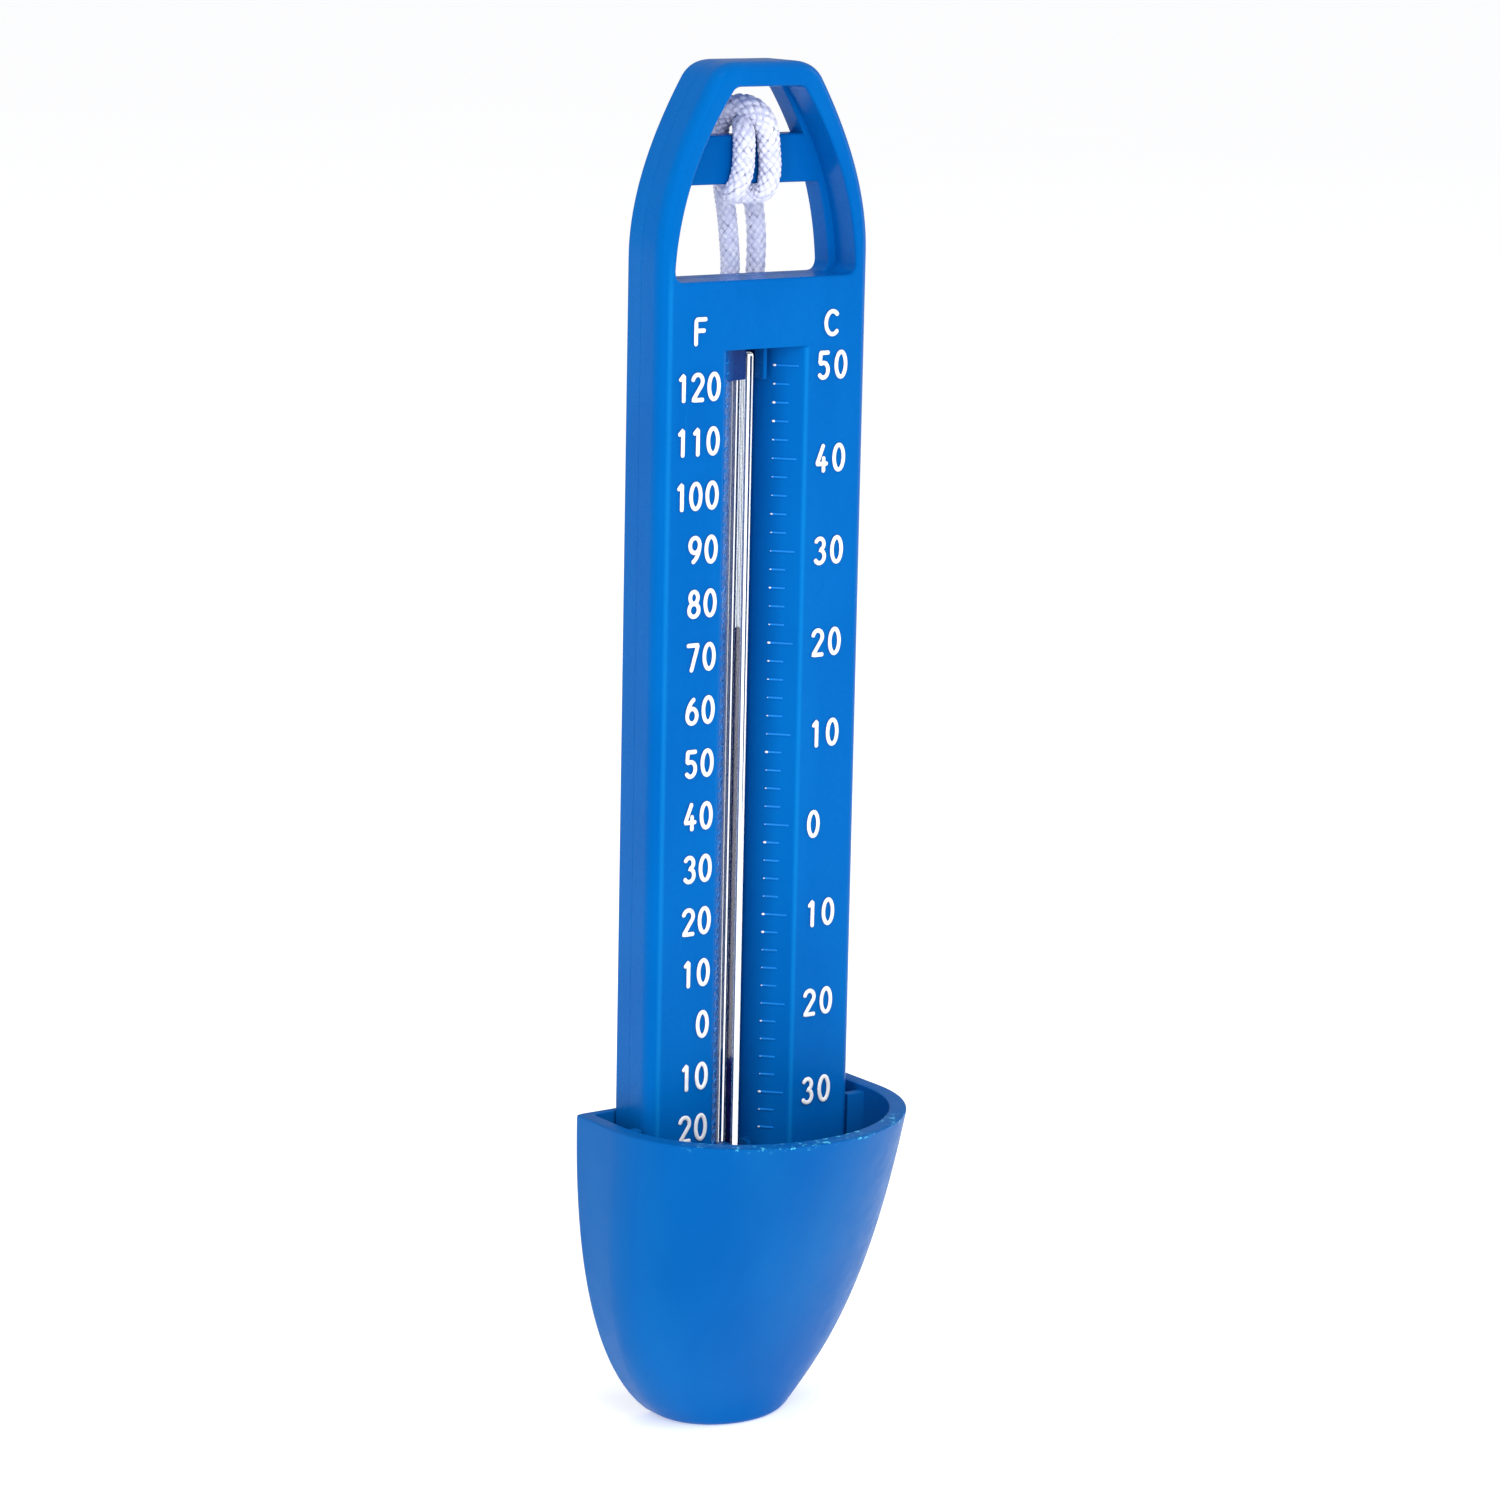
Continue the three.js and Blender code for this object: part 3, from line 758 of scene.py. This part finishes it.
def braided_tube(name, points, diameter=CORD_D, swell=((0, 1.0),)):
    """A braided cord along a smooth line through the points, its ends rounded off."""
    line = catmull(points, BRAID["step"])
    sides, ups = frames(line)
    around = BRAID["around"]
    along = np.arange(len(line)) * BRAID["step"]
    turn = np.arange(around) / around
    relief = braid_height(turn[None, :], along[:, None])
    radius = diameter / 2 * (1 - BRAID["relief"] * (1 - relief))
    radius *= np.interp(along, *zip(*swell))[:, None]
    end = np.minimum(along, along[-1] - along) / (diameter * 0.35)
    radius *= np.sqrt(np.clip(1 - (1 - np.clip(end, 0.03, 1)) ** 2, 0, 1))[:, None]
    angle = 2 * np.pi * turn
    verts = (
        line[:, None]
        + (radius * np.cos(angle))[..., None] * sides[:, None]
        + (radius * np.sin(angle))[..., None] * ups[:, None]
    ).reshape(-1, 3)
    rows = len(line)
    i, j = np.meshgrid(np.arange(rows - 1), np.arange(around), indexing="ij")
    k, n = (j + 1) % around, i + 1
    corners = [i * around + j, i * around + k, n * around + k, n * around + j]
    faces = np.stack(corners, -1).reshape(-1, 4).tolist()
    faces.append(list(range(around)))
    faces.append(list(range((rows - 1) * around, rows * around)))
    obj = edit(new_object(name, verts, faces), outward)
    hollow = obj.data.attributes.new("hollow", "FLOAT", "POINT")
    hollow.data.foreach_set("value", (1 - relief).reshape(-1))
    return obj, line


def end_knot():
    """Both ends tied in one overhand knot, with two short tails below it."""
    x, y, z = KNOT
    turns = []
    for i in range(48):
        t = 2 * math.pi * i / 48
        turns.append(
            (
                x + 1.05 * (math.sin(t) + 1.3 * math.sin(2 * t)),
                y - 0.95 * math.sin(3 * t),
                z + 1.25 * (math.cos(t) - 1.3 * math.cos(2 * t)),
            )
        )
    turns += turns[:3]
    parts = [braided_tube("knot", turns, 2.3)[0]]
    for side, low in ((-1, 10.5), (1, 12)):
        route = ((0.6, 0, 1), (1.3, 0.1, 4), (1.7, 0.3, 7.5), (2.1, 0.2, low))
        tail = [(x + side * d, y + e, z - h) for d, e, h in route]
        parts.append(braided_tube("tail", tail, 2.4)[0])
    return join("end_knot_detail", parts)


def hank_tie():
    """A flat band drawn round the hank's waist."""
    x0, x1 = HANK["x"] - TIE["half"], HANK["x"] + TIE["half"]
    y0, y1, r = TIE["near"], TIE["far"], TIE["r"]
    corners = ((x1 - r, y1 - r, 0), (x0 + r, y1 - r, 90), (x0 + r, y0 + r, 180), (x1 - r, y0 + r, 270))
    path = [p for cx, cy, start in corners for p in arc(cx, cy, r, r, start, start + 90, 10)]
    rings = []
    for i, (px, py) in enumerate(path):
        before, after = Vector(path[i - 1]), Vector(path[(i + 1) % len(path)])
        d = (after - before).normalized()
        nx, ny = d.y, -d.x
        ring = []
        for k in range(24):
            a = 2 * math.pi * k / 24
            c, s = math.cos(a), math.sin(a)
            out = TIE["thick"] * math.copysign(abs(c) ** 0.6, c)
            up = TIE["high"] * math.copysign(abs(s) ** 0.45, s)
            ring.append((px + nx * out, py + ny * out, HANK["z"] + up))
        rings.append(ring)
    return loft("hank_tie_detail", rings, closed=True)


# ---------- materials ----------
# Where the masks run, in metres: each pair is where a mask is 0 and where it is full.
# Painted highlights along two long edges: the panel's left and the valley's right.
PANEL_EDGE_HIGHLIGHT = dict(x=-0.01478, reach=(0.0005, 0.0001), below=(0.156, 0.15))
BANK_EDGE_HIGHLIGHT = dict(x=0.00645, reach=(0.0004, 0.0001), below=(0.1424, 0.142))
AT_PANEL = (0.0058, 0.0054)
AHEAD_OF_BACK_WALL = (0.012, 0.0116)
# Painted shade at the foot of the scale valley.
VALLEY_SHADE = dict(across=(0.0066, 0.0062), below=(0.1426, 0.1423), deep=(0.0066, 0.0098))
# Painted shade on the broad lips over the tube.
LIP_SHADE = dict(deep=(0.0061, 0.0068), right=(-0.001, -0.0012), left=(-0.0054, -0.0044))
LIP_SHADE_LEVELS = ((0.1406, 0.0025), (0.036, 0.0016))  # middle and half height of each lip
RIM_DROP = (0.0008, 0.0003)  # below the cup's rim
RIM_FRONT = (-0.004, -0.009)  # on the front half of the rim
FIGURE_FLANK = (0.00464, 0.00471)  # just ahead of the panel


class Nodes:
    """A short way to write a node tree."""

    def __init__(self, name):
        self.material = bpy.data.materials.new(name)
        self.material.use_nodes = True
        self.tree = self.material.node_tree
        self.bsdf = self.tree.nodes["Principled BSDF"]
        self.coord = self.tree.nodes.new("ShaderNodeTexCoord").outputs["Object"]

    def node(self, kind, inputs=None, **settings):
        node = self.tree.nodes.new(kind)
        for key, value in settings.items():
            setattr(node, key, value)
        for key, value in (inputs or {}).items():
            self.plug(node.inputs[key], value)
        return node

    def plug(self, socket, value):
        if isinstance(value, bpy.types.NodeSocket):
            self.tree.links.new(value, socket)
        else:
            socket.default_value = value

    def stretched(self, scale):
        return self.node("ShaderNodeMapping", {"Vector": self.coord, "Scale": scale}).outputs[0]

    def noise(self, scale, detail=2.0, vector=None, roughness=0.5):
        inputs = {"Vector": vector or self.coord, "Scale": scale, "Detail": detail, "Roughness": roughness}
        return self.node("ShaderNodeTexNoise", inputs).outputs["Fac"]

    def ramp(self, value, low, high, a=0.0, b=1.0):
        """value from low..high to a..b, held at the ends."""
        inputs = {"Value": value, "From Min": low, "From Max": high, "To Min": a, "To Max": b}
        return self.node("ShaderNodeMapRange", inputs, clamp=True).outputs[0]

    def math(self, operation, a, b=0.0):
        return self.node("ShaderNodeMath", {0: a, 1: b}, operation=operation).outputs[0]

    def mix(self, factor, a, b):
        return self.node("ShaderNodeMix", {0: factor, 6: a, 7: b}, data_type="RGBA").outputs[2]

    def bump(self, height, strength, distance, normal=None):
        inputs = {"Height": height, "Strength": strength, "Distance": distance}
        if normal is not None:
            inputs["Normal"] = normal
        return self.node("ShaderNodeBump", inputs).outputs[0]

    def set(self, **sockets):
        for key, value in sockets.items():
            self.plug(self.bsdf.inputs[key.replace("_", " ")], value)
        return self.material

    def place(self):
        """The X, Y and Z of the point, in metres."""
        return self.node("ShaderNodeSeparateXYZ", {0: self.coord}).outputs

    def off(self, value, at):
        """How far a value is from at."""
        return self.math("ABSOLUTE", self.math("SUBTRACT", value, at))

    def all_of(self, *masks):
        """The product of several masks."""
        product = masks[0]
        for mask in masks[1:]:
            product = self.math("MULTIPLY", product, mask)
        return product

    def long_edges(self):
        """A painted highlight along the long edges on the panel's left and the valley's right, 0 to 1."""
        x, y, z = self.place()
        edges = [
            self.all_of(self.ramp(self.off(x, edge["x"]), *edge["reach"]), self.ramp(z, *edge["below"]))
            for edge in (PANEL_EDGE_HIGHLIGHT, BANK_EDGE_HIGHLIGHT)
        ]
        both = self.math("MAXIMUM", *edges)
        return self.all_of(both, self.ramp(y, *AT_PANEL), 0.6)

    def valley_foot(self):
        """Painted shade at the foot of the scale valley, darker the deeper it goes, 0 to 0.8."""
        x, y, z = self.place()
        across = self.ramp(self.math("ABSOLUTE", x), *VALLEY_SHADE["across"])
        below, ahead = self.ramp(z, *VALLEY_SHADE["below"]), self.ramp(y, *AHEAD_OF_BACK_WALL)
        return self.all_of(across, below, ahead, self.ramp(y, *VALLEY_SHADE["deep"], 0, 0.8))

    def resin(self):
        """Painted shade on the broad lips that hold the tube, 0 to 0.95."""
        x, y, z = self.place()
        levels = [self.ramp(self.off(z, at), half, half - 0.0002) for at, half in LIP_SHADE_LEVELS]
        deep, ahead = self.ramp(y, *LIP_SHADE["deep"]), self.ramp(y, *AHEAD_OF_BACK_WALL)
        right, left = self.ramp(x, *LIP_SHADE["right"]), self.ramp(x, *LIP_SHADE["left"])
        return self.all_of(deep, right, left, ahead, self.math("MAXIMUM", *levels), 0.95)


def rgb(*values):
    """sRGB 0-255 to a linear colour."""
    linear = [v / 255 / 12.92 if v < 10.3 else ((v / 255 + 0.055) / 1.055) ** 2.4 for v in values]
    return (*linear, 1.0)


def moulded_plastic(name, base, deep, pale, rough, rim=None, painted_shade=None):
    """Injection-moulded plastic: slow colour drift, flow marks, a fine grain and a few scuffs.

    The last two arguments: the height of the cup's rim with the colour of painted glints along its front, and
    the colour of painted shade at the valley's foot and on the broad lips, which also brings a painted
    highlight in the pale tone along two long edges."""
    n = Nodes(name)
    drift = n.ramp(n.noise(55, 2), 0.35, 0.65)
    flow = n.ramp(n.noise(70, 3, n.stretched((1, 1, 0.12))), 0.4, 0.7)
    grain = n.noise(5200, 3)
    color = n.mix(n.math("MULTIPLY", drift, 0.55), base, deep)
    color = n.mix(n.math("MULTIPLY", flow, 0.22), color, pale)
    scuff = n.ramp(n.noise(900, 4, n.stretched((1, 1, 0.08)), 0.7), 0.66, 0.78)
    color = n.mix(n.math("MULTIPLY", scuff, 0.25), color, pale)
    if painted_shade is not None:
        # Painted highlight: two long edges are mixed towards the pale tone.
        color = n.mix(n.long_edges(), color, pale)
        # Painted shade at the foot of the valley and on the broad lips.
        color = n.mix(n.math("MAXIMUM", n.valley_foot(), n.resin()), color, painted_shade)
    if rim is not None:
        # Painted glints: pale cyan specks along the front half of the cup's rim.
        high, glint_color = rim
        _, y, z = n.place()
        start, full = (high - drop for drop in RIM_DROP)
        edge = n.all_of(n.ramp(z, start, full), n.ramp(y, *RIM_FRONT))
        glint_specks = n.ramp(n.noise(1300, 5, None, 0.7), 0.56, 0.62)
        patch = n.ramp(n.noise(140, 2), 0.42, 0.55)
        color = n.mix(n.math("MULTIPLY", n.math("MULTIPLY", glint_specks, patch), edge), color, glint_color)
    uneven = n.ramp(n.noise(420, 4), 0.3, 0.7, rough - 0.05, rough + 0.07)
    n.plug(n.bsdf.inputs["Roughness"], n.math("ADD", uneven, n.math("MULTIPLY", scuff, 0.15)))
    normal = n.bump(grain, 0.12, 0.00004)
    normal = n.bump(n.noise(160, 2), 0.15, 0.00025, normal)
    n.set(IOR=1.5, Specular_IOR_Level=0.1, Specular_Tint=rgb(60, 165, 255))
    return n.set(Base_Color=color, Normal=normal)


def worn_white(name, shaded_flanks=True):
    """White print on raised figures, rubbed thin in places, their sides a darker blue than the body: blue
    plastic under the print, darkened further as painted shade.
    """
    n = Nodes(name)
    rub = n.ramp(n.noise(1500, 4, None, 0.6), 0.64, 0.74)
    color = n.mix(n.ramp(n.noise(700, 3), 0.35, 0.7), rgb(250, 250, 248), rgb(226, 228, 232))
    color = n.mix(n.math("MULTIPLY", rub, 0.45), color, rgb(150, 180, 214))
    if shaded_flanks:
        # Partly painted shade: the figures' sides get a darker blue than the body's.
        color = n.mix(n.ramp(n.place()["Y"], *FIGURE_FLANK), color, rgb(0, 70, 150))
    normal = n.bump(n.noise(3800, 3), 0.25, 0.00004)
    n.plug(n.bsdf.inputs["Roughness"], n.ramp(n.noise(900, 2), 0.3, 0.7, 0.42, 0.6))
    return n.set(Base_Color=color, Normal=normal)


def glass(name):
    n = Nodes(name)
    n.plug(n.bsdf.inputs["Roughness"], n.ramp(n.noise(500, 3), 0.45, 0.75, 0.01, 0.05))
    normal = n.bump(n.noise(120, 2, n.stretched((1, 1, 0.1))), 0.05, 0.0001)
    n.set(Transmission_Weight=1.0, IOR=1.47, Coat_Weight=0.5, Coat_IOR=1.4)
    return n.set(Base_Color=rgb(244, 248, 250), Normal=normal)


def spirit(name):
    n = Nodes(name)
    tone = n.mix(n.ramp(n.noise(300, 2), 0.4, 0.6), rgb(22, 14, 70), rgb(44, 22, 86))
    n.plug(n.bsdf.inputs["Roughness"], n.ramp(n.noise(800, 2), 0.3, 0.7, 0.06, 0.12))
    return n.set(Base_Color=tone, Normal=n.bump(n.noise(2000, 2), 0.05, 0.00002))


def enamel(name):
    n = Nodes(name)
    tone = n.mix(n.ramp(n.noise(400, 2), 0.4, 0.6), rgb(250, 250, 252), rgb(236, 236, 244))
    n.plug(n.bsdf.inputs["Roughness"], n.ramp(n.noise(800, 2), 0.3, 0.7, 0.25, 0.4))
    # Painted light: the white lines glow, though they are no lamp.
    return n.set(Base_Color=tone, Emission_Color=(1, 1, 1, 1), Emission_Strength=1.1)


def steel(name):
    n = Nodes(name)
    lines = n.noise(900, 4, n.stretched((1, 1, 14)))
    color = n.mix(n.ramp(lines, 0.3, 0.7), rgb(150, 152, 156), rgb(186, 188, 190))
    n.plug(n.bsdf.inputs["Roughness"], n.ramp(lines, 0.3, 0.7, 0.24, 0.42))
    return n.set(Base_Color=color, Metallic=1.0, Normal=n.bump(lines, 0.2, 0.00003))


def braid(name):
    """Polyester braid: fine fibres, painted shade in the hollows between the strands, a few of them dirty."""
    n = Nodes(name)
    fibre = n.noise(7000, 3)
    tone = n.mix(n.ramp(n.noise(650, 4, None, 0.65), 0.35, 0.7), rgb(230, 232, 248), rgb(200, 204, 230))
    hollow = n.node("ShaderNodeAttribute", attribute_name="hollow").outputs["Fac"]
    # Painted shade: the hollows between the strands are darkened.
    deep = n.ramp(hollow, 0.25, 0.85)
    color = n.mix(n.math("MULTIPLY", deep, 0.35), tone, rgb(150, 154, 196))
    dirt = n.math("MULTIPLY", n.ramp(n.noise(900, 2), 0.5, 0.62), n.ramp(hollow, 0.55, 0.8))
    color = n.mix(n.math("MULTIPLY", dirt, 0.7), color, rgb(70, 72, 110))
    n.plug(n.bsdf.inputs["Roughness"], n.ramp(fibre, 0.3, 0.7, 0.75, 0.95))
    normal = n.bump(fibre, 0.6, 0.0001)
    return n.set(Base_Color=color, Normal=normal, Sheen_Weight=0.15, Sheen_Roughness=0.5)


def band_plastic(name):
    n = Nodes(name)
    color = n.mix(n.ramp(n.noise(300, 3), 0.4, 0.7), rgb(240, 240, 236), rgb(222, 222, 218))
    n.plug(n.bsdf.inputs["Roughness"], n.ramp(n.noise(900, 2), 0.3, 0.7, 0.45, 0.6))
    return n.set(Base_Color=color, Normal=n.bump(n.noise(2500, 3), 0.2, 0.00005))


def studio_white(name):
    """A pale floor with a faint glow, like a light table."""
    n = Nodes(name)
    color = n.mix(n.noise(3, 2), rgb(247, 247, 248), rgb(244, 244, 246))
    n.set(Emission_Color=(1, 1, 1, 1), Emission_Strength=0.42)
    return n.set(Base_Color=color, Roughness=0.8, Specular_IOR_Level=0.1)


# ---------- studio ----------
CAMERA = dict(azimuth=35.6485, elevation=11.2925, roll=1.1627, distance=601.476, lens=112.8)
AIM = (-3.135, 2.249, 91.263)
SKY = dict(strength=0.62, in_gloss=0.36)


def make_camera():
    az, el, roll = (math.radians(CAMERA[k]) for k in ("azimuth", "elevation", "roll"))
    forward = Vector((math.sin(az) * math.cos(el), math.cos(az) * math.cos(el), -math.sin(el)))
    level = Vector((math.cos(az), -math.sin(az), 0))
    right = Matrix.Rotation(-roll, 3, forward) @ level
    up = right.cross(forward)
    data = bpy.data.cameras.new("camera")
    data.lens, data.sensor_width, data.clip_start, data.clip_end = CAMERA["lens"], 36, 0.01, 20
    camera = bpy.data.objects.new("camera", data)
    bpy.context.scene.collection.objects.link(camera)
    turn = Matrix((right, up, -forward)).transposed().to_4x4()
    place = (Vector(AIM) - forward * CAMERA["distance"]) * MM
    camera.matrix_world = Matrix.Translation(place) @ turn
    bpy.context.scene.camera = camera


# Each light: azimuth from the front towards the viewer's right and elevation in degrees, distance,
# width and height in metres, watts.
LIGHTS = dict(
    front=(-16, 26, 1.1, 0.12, 0.9, 4.0),
    left=(-54, 14, 1.1, 0.1, 0.9, 2.8),
    right=(72, 16, 1.0, 0.1, 0.9, 2.4),
    top=(-36, 66, 1.1, 0.5, 0.3, 3.0),
)


def area_light(name, azimuth, elevation, distance, width, height, power):
    az, el = math.radians(azimuth), math.radians(elevation)
    data = bpy.data.lights.new(name, "AREA")
    data.shape, data.size, data.size_y, data.energy = "RECTANGLE", width, height, power
    light = bpy.data.objects.new(name, data)
    bpy.context.scene.collection.objects.link(light)
    toward = Vector((math.sin(az) * math.cos(el), -math.cos(az) * math.cos(el), math.sin(el)))
    light.location = Vector((0, 0, 0.09)) + toward * distance
    light.rotation_euler = toward.to_track_quat("Z", "Y").to_euler()
    light.visible_camera = False


def make_studio():
    """A wide pale floor, a pale sky and soft upright strip lights."""
    ring = lambda r: [(r * c, r * s, 0) for c, s in circle(96)]
    floor = loft("studio_floor", [ring(0.3), ring(1.5), ring(6)], capped=False)
    middle = new_object("studio_middle", ring(0.3), [tuple(range(96))])
    floor = join("studio_floor", [floor, middle])
    floor.data.materials.append(studio_white("studio_white"))
    make_sky(**SKY)
    for name, numbers in LIGHTS.items():
        area_light(name, *numbers)
    bpy.context.scene.view_settings.view_transform = "Standard"


def make_sky(strength, in_gloss):
    """A pale even sky, white behind the floor and dimmer in reflections."""
    world = bpy.data.worlds.new("sky")
    world.use_nodes = True
    nodes, links = world.node_tree.nodes, world.node_tree.links
    sky = nodes["Background"]
    sky.inputs["Color"].default_value = (0.99, 0.995, 1.0, 1)
    level = nodes.new("ShaderNodeMapRange")
    level.inputs["To Min"].default_value, level.inputs["To Max"].default_value = strength, in_gloss
    path = nodes.new("ShaderNodeLightPath").outputs
    links.new(path["Is Glossy Ray"], level.inputs["Value"])
    brighter = nodes.new("ShaderNodeMath")
    brighter.operation = "MAXIMUM"
    links.new(level.outputs[0], brighter.inputs[0])
    links.new(path["Is Camera Ray"], brighter.inputs[1])
    links.new(brighter.outputs[0], sky.inputs["Strength"])
    bpy.context.scene.world = world


# ---------- the object ----------
def build():
    # The body's last colour is painted shade for the valley's foot and the broad lips.
    blue = moulded_plastic(
        "body_plastic", rgb(1, 96, 175), rgb(1, 88, 167), rgb(14, 124, 198), 0.26, painted_shade=rgb(0, 38, 104)
    )
    # The cup's pale cyan is painted glints along the front of its rim.
    cup_blue = moulded_plastic(
        "cup_plastic", rgb(4, 93, 169), rgb(3, 85, 160), rgb(32, 118, 180), 0.36, (0.0428, rgb(90, 205, 240))
    )
    white, band = worn_white("figure_white"), band_plastic("band_plastic")
    clear, dark = glass("tube_glass"), spirit("spirit_dye")
    string, metal = braid("cord_braid"), steel("ballast_steel")

    finish_piece(front_shell(), blue, replaces=["front_shell"])
    finish_piece(rear_cover(), blue, replaces=["rear_cover"])
    finish_piece(water_cup(), cup_blue, replaces=["water_cup"])
    finish_piece(scale_numbers(), white)
    # The ticks are a paler blue than the body they are moulded with: a painted highlight on their ridges.
    tick_blue_highlit = moulded_plastic("tick_plastic_highlit", rgb(16, 124, 212), rgb(10, 114, 202), rgb(80, 170, 230), 0.28)
    finish_piece(scale_ticks(), tick_blue_highlit)
    # Painted highlights: white points at the ticks' inner ends.
    finish_piece(scale_dots(), worn_white("glint_dot_white", shaded_flanks=False))
    finish_piece(glass_tube(clear, enamel("tube_enamel_glow")), clear, replaces=["glass_tube"])
    finish_piece(bulb_spirit(), dark, replaces=["bulb_spirit"])
    for side, node in ((-1, "ballast_left"), (1, "ballast_right")):
        finish_piece(ballast(side), metal, replaces=[node])
    column = finish_piece(spirit_column(), dark, replaces=["spirit_column"], ride=False)
    foot, level = (0, TUBE["y"] * MM, COLUMN["foot"] * MM), (0, TUBE["y"] * MM, COLUMN["level"] * MM)
    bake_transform(column)
    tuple(foot)
    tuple(level)
    build_cord(string, band)


def build_cord(string, band):
    tie = finish_piece(hank_tie(), band, replaces=["hank_tie"])
    knot = finish_piece(end_knot(), string, replaces=["end_knot"])
    cords = (
        ("cord_left_detail", LEFT_HITCH, OUTER_TURNS, ["cord_left", "cord_hank"], [tie, knot], SWELL),
        ("cord_right_detail", RIGHT_HITCH, INNER_TURNS, ["cord_right", "cord_hank"], [], SWELL[-1:]),
    )
    for name, hitch, turns, nodes, extra, swell in cords:
        piece, line = braided_tube(name, list(hitch) + hank_points(**turns), swell=swell)
        finish_piece(piece, string, replaces=nodes)
        length = float(np.linalg.norm(np.diff(line, axis=0), axis=1).sum()) * MM
        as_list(extra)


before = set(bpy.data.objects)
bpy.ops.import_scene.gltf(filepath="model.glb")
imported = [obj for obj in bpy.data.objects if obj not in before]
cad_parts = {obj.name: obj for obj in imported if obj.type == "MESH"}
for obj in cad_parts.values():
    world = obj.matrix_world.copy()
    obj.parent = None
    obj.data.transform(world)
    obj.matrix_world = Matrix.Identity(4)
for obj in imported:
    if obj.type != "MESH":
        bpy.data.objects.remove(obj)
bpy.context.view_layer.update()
make_camera()
make_studio()
build()
